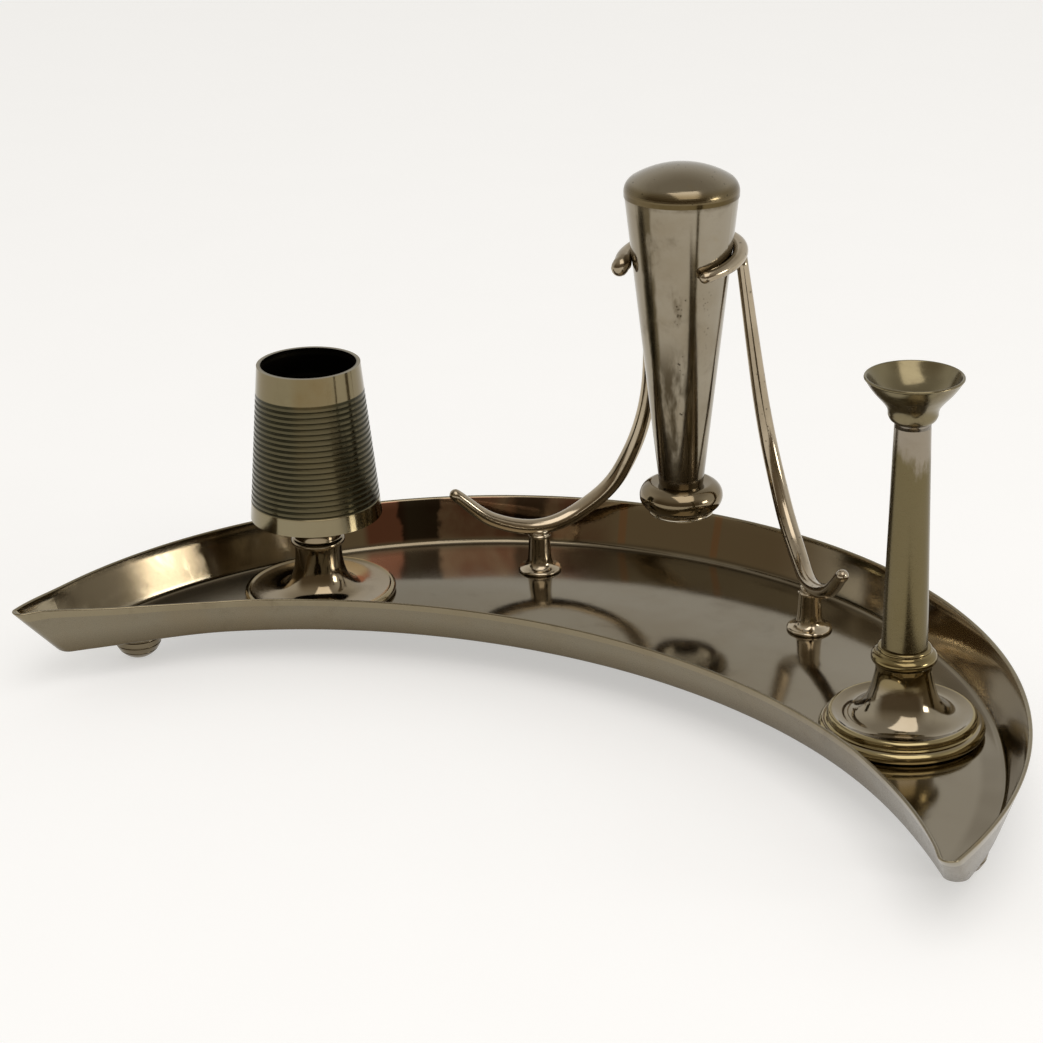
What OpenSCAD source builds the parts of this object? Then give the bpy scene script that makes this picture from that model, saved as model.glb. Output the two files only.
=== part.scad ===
// Desk stand: a crescent tray on three feet, with a ribbed cup, a taper column
// and a torch-shaped holder that hangs in a ring on two scrolled rods.
// Heights inside a sub-part are counted from the top of the tray's floor.

/* [Tray] */
// Rim radius of the convex back edge
back_r = 150; // [140:1:165]
// Rim radius of the concave front edge
front_r = 183; // [172:0.5:195]
// Distance between the centres of the two edges
centre_gap = 124.1; // [115:0.5:132]
// Height of the back wall above the floor
back_wall_h = 14.4; // [10:0.2:22]
// Height of the front wall above the floor, at its middle
front_wall_h = 11.4; // [8:0.2:14]
// Lean of both walls away from upright, in degrees
wall_lean = 19; // [5:1:30]
// Thickness of the tray's sheet
sheet_t = 1.2; // [0.8:0.1:2]
// Radius of the cove between floor and wall
cove_r = 2; // [1:0.5:5]
// Radius of the outer edge under the cove
outer_edge_r = 1.2; // [0.8:0.2:5]

/* [Feet] */
// Radius of a foot's ball
foot_r = 7.3; // [5:0.1:9]
// Height of a foot under the tray
foot_h = 10.2; // [8:0.1:14]
// Depth of the flat ground under a foot
foot_flat = 0.3; // [0.1:0.05:0.6]
// Number of turned grooves round a foot
foot_grooves = 3; // [1:1:4]
// Distance of a front foot behind the horn's tip
foot_from_tip = 39.8; // [30:0.1:60]
// Shift of a front foot outward from the middle of the horn
foot_shift = 3.9; // [-3:0.1:5]
// Distance of the back foot in from the back rim
back_foot_inset = 22; // [16:1:40]

/* [Cup] */
// Distance of the cup and the column in from the back rim
fitting_inset = 32; // [28:0.5:40]
// Turn of the cup and the column up from the sideways axis, in degrees
fitting_turn = 33.95; // [28:0.05:40]
// Outer radius of the cup at its rim
cup_rim_r = 15.7; // [12:0.1:18]
// Outer radius of the cup at its foot end
cup_base_r = 20.2; // [17:0.1:24]
// Height of the cup's shell
cup_h = 48.6; // [35:0.5:60]
// Height of the cup's underside above the floor
cup_z = 26.4; // [20:0.2:32]
// Thickness of the cup's shell
cup_wall = 1.2; // [1:0.1:2]
// Number of turned ribs
cup_ribs = 20; // [8:1:24]
// Height of the plain band under the rim
cup_top_band = 9.2; // [6:0.2:12]
// Height of the plain band at the foot end
cup_low_band = 5.2; // [4:0.2:8]
// Depth of a groove between ribs
rib_depth = 0.35; // [0.2:0.05:0.6]
// Radius of the cup's foot plate
cup_foot_r = 23.5; // [18:0.5:26]
// Radius of the cup's stem
cup_stem_r = 7.2; // [5:0.1:9]

/* [Column] */
// Radius of the column's foot
column_foot_r = 22.8; // [18:0.2:26]
// Radius of the neck above the foot
column_neck_r = 6.9; // [5.5:0.1:8]
// Height of the neck's top above the floor
column_neck_z = 20.6; // [18:0.2:26]
// Outer radius of the knop
knop_r = 8.1; // [7:0.1:10]
// Height of the knop
knop_h = 5; // [4:0.1:7]
// Radius of the shaft at its foot
shaft_low_r = 6.3; // [5:0.1:6.5]
// Radius of the shaft at its top
shaft_top_r = 4.9; // [4.3:0.1:5.6]
// Length of the shaft
shaft_h = 63; // [45:0.5:80]
// Radius of the dish at its lip
dish_r = 13.2; // [11:0.1:16]
// Radius of the dish's collar
collar_r = 6.6; // [6:0.1:8]
// Height of the dish above the shaft
dish_h = 13.4; // [12:0.2:16]
// Radius of the socket that takes a taper
socket_r = 3.9; // [3:0.1:4.5]
// Depth of the socket
socket_depth = 6; // [4.5:0.1:6.4]

/* [Posts and rods] */
// Distance of a post in from the back rim
post_inset = 26.9; // [20:0.1:34]
// Turn of a post up from the sideways axis, in degrees
post_turn = 67.55; // [64:0.05:71]
// Height of a post
post_h = 13; // [10:0.2:18]
// Radius of a post's shaft
post_r = 3.4; // [3:0.1:4]
// Radius of a post's flange
post_flange_r = 6.8; // [6:0.1:9]
// Radius of a rod where it lies on its post
rod_seat_r = 2.5; // [2:0.1:3]
// Radius of a rod in the lower leg, where it is thickest
rod_leg_r = 2.7; // [2.3:0.1:3.2]
// Radius of a rod at its free end
rod_end_r = 1.9; // [1.5:0.1:2.4]
// Radius of a rod where it meets the ring
rod_top_r = 1.75; // [1.4:0.05:2.2]
// Reach of a rod's free end past its post
scroll_reach = 26.5; // [20:0.5:32]
// Rise of a rod's free end above its seat
scroll_rise = 13.6; // [8:0.2:16]

/* [Torch and ring] */
// Distance of the torch's axis in from the back rim
torch_inset = 29.6; // [26:0.2:34]
// Height of the ring above the floor
ring_z = 106.5; // [90:0.5:115]
// Radius of the ring's round bar
ring_bar_r = 2.05; // [1.4:0.05:2.4]
// Radius of the ball at each end of the ring
ring_ball_r = 2.35; // [1.6:0.05:2.8]
// Tilt of the ring, back edge up, in degrees
ring_tilt = 7; // [0:1:10]
// Half of the ring's open angle at the front
ring_open = 62; // [50:1:70]
// Gap between the torch and the ring
ring_gap = 0.5; // [0.4:0.05:0.8]
// Height of the torch's underside above the floor
torch_z = 26.3; // [20:0.1:32]
// Length of the tapered body
torch_body_h = 90; // [80:0.5:100]
// Outer radius of the body at its neck
torch_neck_r = 6.7; // [5.5:0.1:7]
// Outer radius of the body at its mouth
torch_top_r = 16.8; // [15:0.1:19]
// Thickness of the body's sheet
torch_wall = 1; // [0.8:0.1:1.5]
// Outer radius of the bun knob
knob_r = 12.7; // [10:0.1:13]
// Height of the bun knob, with the disc under it
knob_h = 10; // [8:0.1:12]
// Radius of the disc under the knob
knob_disc_r = 9.8; // [7:0.1:11]
// Height of the disc under the knob
knob_disc_h = 1.3; // [0.6:0.1:2]
// Height of the brass band under the cap
band_h = 1.3; // [1:0.1:2]
// Height of the domed cap
cap_h = 8; // [6:0.1:9]
// Height of the register that centres the cap
register_h = 1.8; // [1.2:0.1:2.4]

/* [Fasteners] */
// Radius of the screws' shanks
screw_r = 1.5; // [1.2:0.1:1.8]
// Radius of the screws' heads
head_r = 4; // [3.2:0.1:4.5]
// Height of a head or a nut
head_h = 2.2; // [1.6:0.1:3]
// Running gap round a shank
fit_gap = 0.06; // [0.02:0.01:0.15]

/* [Hidden] */

$fn = 96;
eps = 0.01;
// How far a bore runs past the face it opens at
past = 1;
silver = [0.74, 0.71, 0.64];
brass = [0.72, 0.60, 0.34];
steel = [0.55, 0.55, 0.56];

// The front rim rises to the back rim's height just before the tips, where the two rims cross
lean = tan(wall_lean);
front_tip_r = front_r - (back_wall_h - front_wall_h) * lean;
tip_y = (front_tip_r * front_tip_r - back_r * back_r - centre_gap * centre_gap) / (2 * centre_gap);
front_mid_y = front_r - centre_gap;
tip_level = 3;
front_rise = atan((back_wall_h - front_wall_h) / (front_mid_y - tip_y - tip_level));

// The part is centred between the tips and the back, and stands on its feet
centre_y = (back_r + tip_y) / 2;
floor_z = foot_h + sheet_t;
under_tray = -sheet_t;
screw_hole_r = screw_r + fit_gap;

// A front foot stands near the middle of its horn's width
foot_y = tip_y + foot_from_tip;
horn_out_x = sqrt(back_r * back_r - foot_y * foot_y);
horn_in_x = sqrt(front_r * front_r - pow(foot_y + centre_gap, 2));
foot_x = (horn_out_x + horn_in_x) / 2 + foot_shift;

// The fittings stand along the back rim
fitting_r = back_r - fitting_inset;
cup_x = fitting_r * cos(fitting_turn);
fitting_y = fitting_r * sin(fitting_turn);
post_ring_r = back_r - post_inset;
post_x = post_ring_r * cos(post_turn);
post_y = post_ring_r * sin(post_turn);
torch_y = back_r - torch_inset;

foot_groove_pitch = 2.1;
foot_groove_r = 0.35;

// The cup's floor plate stands on a seat at the top of the foot's stem
cup_seat_t = 0.8;
cup_floor_t = 1.6;
cup_floor_gap = 0.04;
cup_stem_top_z = cup_z + cup_seat_t;
cup_floor_top_z = cup_stem_top_z + cup_floor_t;

// The dish's spigot plugs into the top of the shaft, over the end of the tie rod
column_shaft_z = column_neck_z + knop_h;
dish_z = column_shaft_z + shaft_h;
collar_h = 5;
dish_floor_t = 1.5;
collar_z = dish_z + collar_h;
socket_mouth_z = collar_z + dish_floor_t;
spigot_r = 3;
spigot_h = 5.5;
spigot_relief = 0.5;
lip_t = 0.8;
column_rod_top = dish_z - 2;

// The torch's body sinks a little into its knob, and a solid plug in it takes the screw
knob_seat = 0.6;
torch_plug_h = 8;
torch_neck_z = torch_z + knob_h - knob_seat;
torch_mouth_z = torch_neck_z + torch_body_h;
torch_plug_z = torch_neck_z + torch_plug_h;
cap_z = torch_mouth_z + band_h;
cap_r = torch_top_r + 0.2;
cap_fit = 0.15;
band_skirt_h = 4;
band_bore_r = cap_r - 3.2;

// The cap is a flat arc, its crown, over a rounder shoulder, and the register fits inside it
shoulder_r = 4.6;
shoulder_x = cap_r - shoulder_r;
crown_rise = cap_h - shoulder_r;
crown_drop = (shoulder_x * shoulder_x - crown_rise * crown_rise) / (2 * crown_rise);
crown_r = crown_drop + cap_h;
shoulder_turn = atan2(crown_drop, shoulder_x);
register_r = shoulder_x + sqrt(pow(shoulder_r - torch_wall, 2) - register_h * register_h) - cap_fit;

// A rod's bends: from the seat, then measured from the point where it meets the ring
bend_step = [-9.2, 10.4, 4];
leg_foot_out = 12;
leg_foot_back = 5.2;
leg_foot_rise = 16.5;
leg_mid_out = 3.7;
leg_mid_back = 7.8;
leg_mid_drop = 48;

// The ring clears the cone where its raised back edge meets it
ring_back_z = ring_z + (torch_top_r + ring_bar_r) * sin(ring_tilt);
ring_r = (torch_r(ring_back_z) + ring_gap + ring_bar_r) / cos(ring_tilt);
ring_joint_turn = 25;

// Radius of the torch's outside at a height
function torch_r(z) = torch_neck_r + (torch_top_r - torch_neck_r) * (z - torch_neck_z) / torch_body_h;
function torch_inside_r(z) = torch_r(z) - torch_wall;

// Points along an arc round [x, y]
function arc(x, y, r, from, to, n = 10) =
    [for (i = [0:n]) let (a = from + (to - from) * i / n) [x + r * cos(a), y + r * sin(a)]];

module on_tray(x = 0, y = 0, z = 0) translate([x, y - centre_y, floor_z + z]) children();

module turned(points, fn = 96) rotate_extrude($fn = fn) polygon(points);

module bore(r, from, to) translate([0, 0, from]) cylinder(r = r, h = to - from);

// ---------------------------------------------------------------- tray

// Outline of a flared bowl: flat from the axis to a cove, then a leaning wall
// side is 1 where the wall leans away from the axis and -1 where it leans in
function bowl_side(rim_r, rim_z, base_z, r, side, top_z) =
    let (turn = 90 - wall_lean,
         corner_r = rim_r - side * (rim_z - base_z) * lean,
         reach = r * tan(turn / 2),
         cx = corner_r - side * reach,
         cz = base_z + r)
    concat(
        [for (i = [0:6]) let (a = turn * i / 6) [cx + side * r * sin(a), cz - r * cos(a)]],
        [[rim_r + side * (top_z - rim_z) * lean, top_z]]);

module back_bowl(inset, base_z, r, top_z)
    turned(concat([[0, top_z], [0, base_z]],
                  bowl_side(back_r - inset, back_wall_h, base_z, r, 1, top_z)), 240);

module front_bowl(outset, base_z, r, top_z)
    translate([0, -centre_gap, 0]) turned(concat([[back_r + front_r, top_z], [back_r + front_r, base_z]],
        bowl_side(front_r + outset, front_wall_h, base_z, r, -1, top_z)), 240);

// Everything above the front wall, over a plane that rises from its middle to the tips
module above_front_wall() intersection() {
    translate([0, -centre_gap, 0]) cylinder(r = front_r + sheet_t + past, h = back_r, $fn = 240);
    translate([0, front_mid_y, front_wall_h]) rotate([-front_rise, 0, 0])
        translate([-back_r, -back_r, 0]) cube([2 * back_r, 2 * back_r, back_r]);
}

module tray() color(silver) on_tray() difference() {
    intersection() {
        back_bowl(0, under_tray, outer_edge_r, back_wall_h);
        front_bowl(0, under_tray, outer_edge_r, back_wall_h + 1);
    }
    intersection() {
        back_bowl(sheet_t, 0, cove_r, back_wall_h + 1);
        front_bowl(sheet_t, 0, cove_r, back_wall_h + 2);
    }
    above_front_wall();
    for (hole = [[-cup_x, fitting_y], [cup_x, fitting_y], [-post_x, post_y], [post_x, post_y]])
        translate(hole) bore(screw_hole_r, under_tray - past, past);
}

// ---------------------------------------------------------------- feet

// A turned foot: half a ball, ground flat below, on a short drum, with grooves round it
module foot() {
    ball_z = foot_r - foot_flat - foot_h;
    difference() {
        union() {
            intersection() {
                translate([0, 0, ball_z]) sphere(r = foot_r);
                translate([0, 0, -foot_h]) cylinder(r = foot_r + past, h = foot_h + ball_z);
            }
            translate([0, 0, ball_z]) cylinder(r = foot_r, h = -ball_z);
        }
        for (i = [0:foot_grooves - 1])
            let (drop = i * foot_groove_pitch)
            translate([0, 0, ball_z - drop]) rotate_extrude()
                translate([sqrt(foot_r * foot_r - drop * drop), 0]) circle(r = foot_groove_r, $fn = 24);
    }
}

module foot_left() color(silver) on_tray(-foot_x, foot_y, under_tray) foot();
module foot_right() color(silver) on_tray(foot_x, foot_y, under_tray) foot();
module foot_back() color(silver) on_tray(0, back_r - back_foot_inset, under_tray) foot();

// ---------------------------------------------------------------- cup

function cup_r(z) = cup_base_r + (cup_rim_r - cup_base_r) * (z - cup_z) / cup_h;
function cup_inside_r(z) = cup_r(z) - cup_wall;

rib_from = cup_z + cup_low_band;
rib_pitch = (cup_h - cup_low_band - cup_top_band) / cup_ribs;

// Outline of the ribbed side, from the foot end to the rim
function ribbed_side() = concat(
    [[cup_r(cup_z), cup_z]],
    [for (i = [0:cup_ribs - 1]) let (z = rib_from + i * rib_pitch)
        each [[cup_r(z), z],
              [cup_r(z) - rib_depth, z + rib_pitch * 0.2],
              [cup_r(z) - rib_depth, z + rib_pitch * 0.3],
              [cup_r(z + rib_pitch * 0.5), z + rib_pitch * 0.5]]],
    [[cup_r(cup_z + cup_h), cup_z + cup_h]]);

module cup_shell() color(silver) on_tray(-cup_x, fitting_y) turned(concat(
    ribbed_side(),
    [[cup_inside_r(cup_z + cup_h), cup_z + cup_h], [cup_inside_r(cup_z), cup_z]]));

module cup_floor() color(silver) on_tray(-cup_x, fitting_y) difference() {
    translate([0, 0, cup_stem_top_z])
        cylinder(r1 = cup_inside_r(cup_stem_top_z) - cup_floor_gap,
                 r2 = cup_inside_r(cup_floor_top_z) - cup_floor_gap, h = cup_floor_t);
    bore(screw_hole_r, cup_stem_top_z - past, cup_floor_top_z + past);
}

// A spreading foot: a rounded edge, a shallow slope and a concave flare up to a neck
function flared_foot(edge_r, edge_h, step_r, step_h, slope, flare_r, neck_r) =
    let (cx = neck_r + flare_r,
         line_z = step_h + (step_r - cx) * tan(slope),
         cz = line_z + flare_r / cos(slope),
         bead = edge_h / 2)
    concat([[0, 0]],
           arc(edge_r - bead, bead, bead, -90, 90, 10),
           [[step_r, edge_h]],
           arc(step_r - 0.5, step_h - 0.5, 0.5, 0, 90 - slope, 3),
           arc(cx, cz, flare_r, 270 - slope, 180, 12));

module cup_foot() color(silver) on_tray(-cup_x, fitting_y) difference() {
    turned(concat(
        flared_foot(cup_foot_r, 2, cup_foot_r - 2.6, 2.8, 6, 5, cup_stem_r),
        arc(cup_stem_r - 3, cup_z - 8, 3.6, -30, 60, 6),
        [[cup_stem_r - 1, cup_z - 4], [cup_stem_r + 2.5, cup_z - 1],
         [cup_stem_r + 2.5, cup_stem_top_z], [0, cup_stem_top_z]]));
    bore(screw_hole_r, -past, cup_stem_top_z + past);
}

module cup_screw() color(steel) on_tray(-cup_x, fitting_y) {
    translate([0, 0, under_tray - head_h]) cylinder(r = head_r, h = head_h);
    bore(screw_r, under_tray - eps, cup_floor_top_z + head_h + 1);
}

module hex_nut(z) difference() {
    translate([0, 0, z]) cylinder(r = head_r, h = head_h, $fn = 6);
    bore(screw_hole_r, z - past, z + head_h + past);
}

module cup_nut() color(brass) on_tray(-cup_x, fitting_y) hex_nut(cup_floor_top_z);

// ---------------------------------------------------------------- column

module column_foot() color(silver) on_tray(cup_x, fitting_y) difference() {
    turned(concat(
        flared_foot(column_foot_r, 3.4, column_foot_r - 1.9, 5, 26, 5, column_neck_r),
        [[column_neck_r, column_neck_z], [0, column_neck_z]]));
    bore(screw_hole_r, -past, column_neck_z + past);
}

module column_knop() color(brass) on_tray(cup_x, fitting_y) difference() {
    turned(concat(
        [[0, column_neck_z], [column_neck_r - 0.4, column_neck_z]],
        arc(knop_r - 2, column_neck_z + knop_h / 2, 2, -80, 80, 10),
        [[shaft_low_r, column_shaft_z], [0, column_shaft_z]]));
    bore(screw_hole_r, column_neck_z - past, column_shaft_z + past);
}

module column_shaft() color(brass) on_tray(cup_x, fitting_y, column_shaft_z) difference() {
    cylinder(r1 = shaft_low_r, r2 = shaft_top_r, h = shaft_h);
    bore(screw_hole_r, -past, shaft_h - spigot_h - eps);
    bore(spigot_r + fit_gap, shaft_h - spigot_h - spigot_relief, shaft_h + past);
}

// The bowl's outside swells from the collar to the lip, and its inside follows it
module column_dish() color(silver) on_tray(cup_x, fitting_y) difference() {
    turned(concat(
        [[0, dish_z - spigot_h], [spigot_r, dish_z - spigot_h], [spigot_r, dish_z], [shaft_top_r, dish_z]],
        arc(collar_r - 2.2, dish_z + 3, 2.2, -55, 0, 6),
        [[collar_r, collar_z]],
        bowl_curve(collar_r, collar_z, dish_r, dish_z + dish_h, 12),
        [[dish_r - lip_t / 2, dish_z + dish_h + 0.1]],
        bowl_curve(dish_r - lip_t, dish_z + dish_h, socket_r + 0.3, socket_mouth_z, -12),
        [[0, socket_mouth_z]]));
    bore(socket_r, socket_mouth_z - socket_depth, socket_mouth_z + past);
    bore(screw_hole_r, dish_z - spigot_h - past, column_rod_top + spigot_relief);
}

// A shallow arc from one point to another, bulging by a part of its length
function bowl_curve(x1, y1, x2, y2, turn, n = 10) =
    let (dx = x2 - x1, dy = y2 - y1, chord = norm([dx, dy]),
         r = chord / 2 / sin(abs(turn)),
         side = sign(turn),
         cx = (x1 + x2) / 2 - side * dy / chord * r * cos(turn),
         cy = (y1 + y2) / 2 + side * dx / chord * r * cos(turn),
         from = atan2(y1 - cy, x1 - cx))
    [for (i = [0:n]) let (a = from + side * 2 * abs(turn) * i / n) [cx + r * cos(a), cy + r * sin(a)]];

module column_rod() color(steel) on_tray(cup_x, fitting_y)
    bore(screw_r, under_tray - head_h - 1, column_rod_top);

module column_nut() color(brass) on_tray(cup_x, fitting_y) hex_nut(under_tray - head_h);

// ---------------------------------------------------------------- posts

seat_z = post_h + 1.5;
seat_gap = 0.12;
post_hole_h = 7;

module post() difference() {
    turned(concat(
        flared_foot(post_flange_r, 1, post_flange_r - 0.5, 1.5, 8, 2.4, post_r),
        [[post_r, post_h], [0, post_h]]));
    bore(screw_hole_r, -past, post_hole_h);
    translate([0, 0, seat_z]) rotate([90, 0, 45]) cylinder(r = rod_seat_r + seat_gap, h = 20, center = true);
}

module post_left() color(silver) on_tray(-post_x, post_y) mirror([1, 0, 0]) post();
module post_right() color(silver) on_tray(post_x, post_y) post();

module post_screws() color(steel) for (side = [-1, 1]) on_tray(side * post_x, post_y) {
    translate([0, 0, under_tray - head_h]) cylinder(r = head_r, h = head_h);
    bore(screw_r, under_tray - eps, post_hole_h - 0.5);
}

// ---------------------------------------------------------------- rods

// Where the right rod meets the ring's bar
ring_joint = [ring_r * cos(ring_joint_turn),
              torch_y + ring_r * sin(ring_joint_turn) * cos(ring_tilt),
              ring_z + ring_r * sin(ring_joint_turn) * sin(ring_tilt)];
seat = [post_x, post_y, seat_z];
scroll_out = [sin(45), -cos(45), 0] * scroll_reach;

// The right rod's route, from its free end over the post and up to the ring, with its radius
rod_route = [
    concat(seat + scroll_out + [0, 0, scroll_rise], rod_end_r),
    concat(seat + scroll_out * 0.56 + [0, 0, scroll_rise * 0.29], 0.4 * rod_end_r + 0.6 * rod_seat_r),
    concat(seat, rod_seat_r),
    concat(seat + bend_step, rod_leg_r),
    concat([ring_joint[0] + leg_foot_out, ring_joint[1] + leg_foot_back, seat_z + leg_foot_rise], rod_leg_r),
    concat([ring_joint[0] + leg_mid_out, ring_joint[1] + leg_mid_back, ring_z - leg_mid_drop],
           0.3 * rod_top_r + 0.7 * rod_leg_r),
    concat(ring_joint, rod_top_r)];

rod_steps = 8;
rod_sides = 20;

// Catmull-Rom curve through the route
function on_curve(a, b, c, d, t) =
    0.5 * (2 * b + (c - a) * t + (2 * a - 5 * b + 4 * c - d) * t * t + (3 * b - a - 3 * c + d) * t * t * t);
function padded(p) = concat([2 * p[0] - p[1]], p, [2 * p[len(p) - 1] - p[len(p) - 2]]);
function smooth(p, n) = let (q = padded(p)) concat(
    [for (i = [1:len(q) - 3], j = [0:n - 1]) on_curve(q[i - 1], q[i], q[i + 1], q[i + 2], j / n)],
    [p[len(p) - 1]]);
function spot(p) = [p[0], p[1], p[2]];
function unit(v) = v / norm(v);
function heading(p, i) =
    unit(spot(p[min(i + 1, len(p) - 1)]) - spot(p[max(i - 1, 0)]));

// A ring of points round the curve at point i, moved back and shrunk for the rounded end
function section(p, i, back = 0, shrink = 1) =
    let (along = heading(p, i),
         side = unit(cross(along, [sin(45), cos(45), 0])),
         up = cross(side, along),
         c = spot(p[i]) - along * back * p[i][3])
    [for (k = [0:rod_sides - 1]) let (a = 360 * k / rod_sides)
        c + (side * cos(a) + up * sin(a)) * p[i][3] * shrink];

module rod() {
    curve = smooth(rod_route, rod_steps);
    end_turns = [80, 60, 40, 20];
    rings = concat([for (a = end_turns) section(curve, 0, sin(a), cos(a))],
                   [for (i = [0:len(curve) - 1]) section(curve, i)]);
    m = len(rings);
    n = rod_sides;
    sides = [for (i = [0:m - 2], k = [0:n - 1])
        [i * n + k, i * n + (k + 1) % n, (i + 1) * n + (k + 1) % n, (i + 1) * n + k]];
    difference() {
        polyhedron(points = [for (r = rings) each r],
                   faces = concat([[for (k = [n - 1:-1:0]) k]], sides, [[for (k = [0:n - 1]) (m - 1) * n + k]]));
        ring_place() ring_arc(ring_bar_r + 0.05);
    }
}

module rod_left() color(silver) on_tray() mirror([1, 0, 0]) rod();
module rod_right() color(silver) on_tray() rod();

// ---------------------------------------------------------------- ring

module ring_place() translate([0, torch_y, ring_z]) rotate([ring_tilt, 0, 0]) children();

module ring_arc(bar_r) rotate([0, 0, ring_open - 90])
    rotate_extrude(angle = 360 - 2 * ring_open) translate([ring_r, 0]) circle(r = bar_r, $fn = 48);

// An open ring of round bar, with a ball at each end
module torch_ring() color(silver) on_tray() ring_place() {
    ring_arc(ring_bar_r);
    for (side = [-1, 1]) rotate([0, 0, side * ring_open - 90]) translate([ring_r, 0, 0])
        sphere(r = ring_ball_r, $fn = 48);
}

// ---------------------------------------------------------------- torch

module torch_body() color(silver) on_tray(0, torch_y) difference() {
    translate([0, 0, torch_neck_z]) cylinder(r1 = torch_neck_r, r2 = torch_top_r, h = torch_body_h);
    translate([0, 0, torch_plug_z])
        cylinder(r1 = torch_inside_r(torch_plug_z), r2 = torch_inside_r(torch_mouth_z + past),
                 h = torch_body_h - torch_plug_h + past);
    bore(screw_hole_r, torch_neck_z - past, torch_plug_z + past);
}

// A bun on a thin disc
module torch_knob() color(silver) on_tray(0, torch_y) difference() {
    bun_r = (knob_h - knob_disc_h) / 2;
    turned(concat([[0, torch_z], [knob_disc_r, torch_z], [knob_disc_r, torch_z + knob_disc_h]],
                  arc(knob_r - bun_r, torch_z + knob_disc_h + bun_r, bun_r, -90, 80, 16),
                  [[torch_neck_r + 0.3, torch_neck_z], [0, torch_neck_z]]));
    bore(screw_hole_r, torch_z - past, torch_neck_z + past);
    bore(head_r + fit_gap, torch_z - past, torch_z + head_h);
}

module torch_screw() color(brass) on_tray(0, torch_y) {
    translate([0, 0, torch_z]) cylinder(r = head_r, h = head_h);
    bore(screw_r, torch_z + head_h - eps, torch_plug_z - 0.5);
}

// The band's skirt drops into the body and its register stands up inside the cap
module torch_band() color(brass) on_tray(0, torch_y) difference() {
    skirt_z = torch_mouth_z - band_skirt_h;
    union() {
        translate([0, 0, skirt_z]) cylinder(r = torch_inside_r(skirt_z) - fit_gap, h = band_skirt_h + eps);
        translate([0, 0, torch_mouth_z]) cylinder(r = cap_r, h = band_h);
        translate([0, 0, cap_z - eps]) cylinder(r = register_r, h = register_h + eps);
    }
    bore(band_bore_r, skirt_z - past, cap_z + register_h + past);
}

// Outline of the domed cap, moved in by inset
module dome(inset) turned(concat([[0, 0]],
    [[shoulder_x + shoulder_r - inset, 0]],
    arc(shoulder_x, 0, shoulder_r - inset, 0, shoulder_turn, 10),
    arc(0, -crown_drop, crown_r - inset, shoulder_turn, 90, 16)));

module torch_cap() color(silver) on_tray(0, torch_y, cap_z) difference() {
    dome(0);
    translate([0, 0, -eps]) dome(torch_wall);
}

tray();
foot_left();
foot_right();
foot_back();
cup_shell();
cup_floor();
cup_foot();
cup_screw();
cup_nut();
column_foot();
column_knop();
column_shaft();
column_dish();
column_rod();
column_nut();
post_left();
post_right();
post_screws();
rod_left();
rod_right();
torch_ring();
torch_body();
torch_knob();
torch_screw();
torch_band();
torch_cap();
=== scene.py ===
from math import atan2, cos, degrees, pi, radians, sin, sqrt

import bmesh
import bpy
from mathutils import Matrix, Vector


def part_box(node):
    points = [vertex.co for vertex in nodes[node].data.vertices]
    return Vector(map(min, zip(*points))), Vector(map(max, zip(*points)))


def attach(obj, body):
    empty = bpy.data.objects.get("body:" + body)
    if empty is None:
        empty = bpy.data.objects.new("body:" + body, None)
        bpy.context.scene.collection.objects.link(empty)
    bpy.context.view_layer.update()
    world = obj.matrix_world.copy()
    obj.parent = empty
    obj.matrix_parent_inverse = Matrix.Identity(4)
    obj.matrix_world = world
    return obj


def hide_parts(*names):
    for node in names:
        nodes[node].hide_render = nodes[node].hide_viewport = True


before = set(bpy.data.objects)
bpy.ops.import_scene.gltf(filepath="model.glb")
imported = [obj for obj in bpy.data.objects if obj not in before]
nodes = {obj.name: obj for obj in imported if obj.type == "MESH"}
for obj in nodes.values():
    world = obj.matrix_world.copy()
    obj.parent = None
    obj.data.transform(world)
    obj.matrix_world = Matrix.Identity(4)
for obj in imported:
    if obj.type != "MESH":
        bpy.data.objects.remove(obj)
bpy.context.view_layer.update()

# Sizes and places are in mm, counted from the centre of the tray's back rim, at the top of its floor
MM = 0.001
SHEET = 1.2
BACK_RIM_R, FRONT_RIM_R = 150.0, 183.0
GAP = 124.1                             # how far the front rim's centre is in front of the back rim's
POST = (46.99, 113.77)                  # the right post's upright axis
tray_low, tray_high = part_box("tray")
BACK_Y = round(tray_high.y / MM - BACK_RIM_R, 3)
FLOOR_Z = round(tray_low.z / MM + SHEET, 3)


def axis_of(node):
    """The upright axis through the middle of a node."""
    low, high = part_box(node)
    middle = (low + high) / 2 / MM
    return round(middle.x, 3), round(middle.y, 3) - BACK_Y


CUP = axis_of("cup_foot")
COLUMN = axis_of("column_knop")
TORCH = axis_of("torch_cap")


def at(x, y, z):
    """A point in the frame's metres."""
    return Vector((x, y + BACK_Y, z + FLOOR_Z)) * MM


def clamped(t):
    return min(max(t, 0.0), 1.0)


def eased(t):
    t = clamped(t)
    return t * t * (3 - 2 * t)


# ---------------------------------------------------------------- shader graphs

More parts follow.
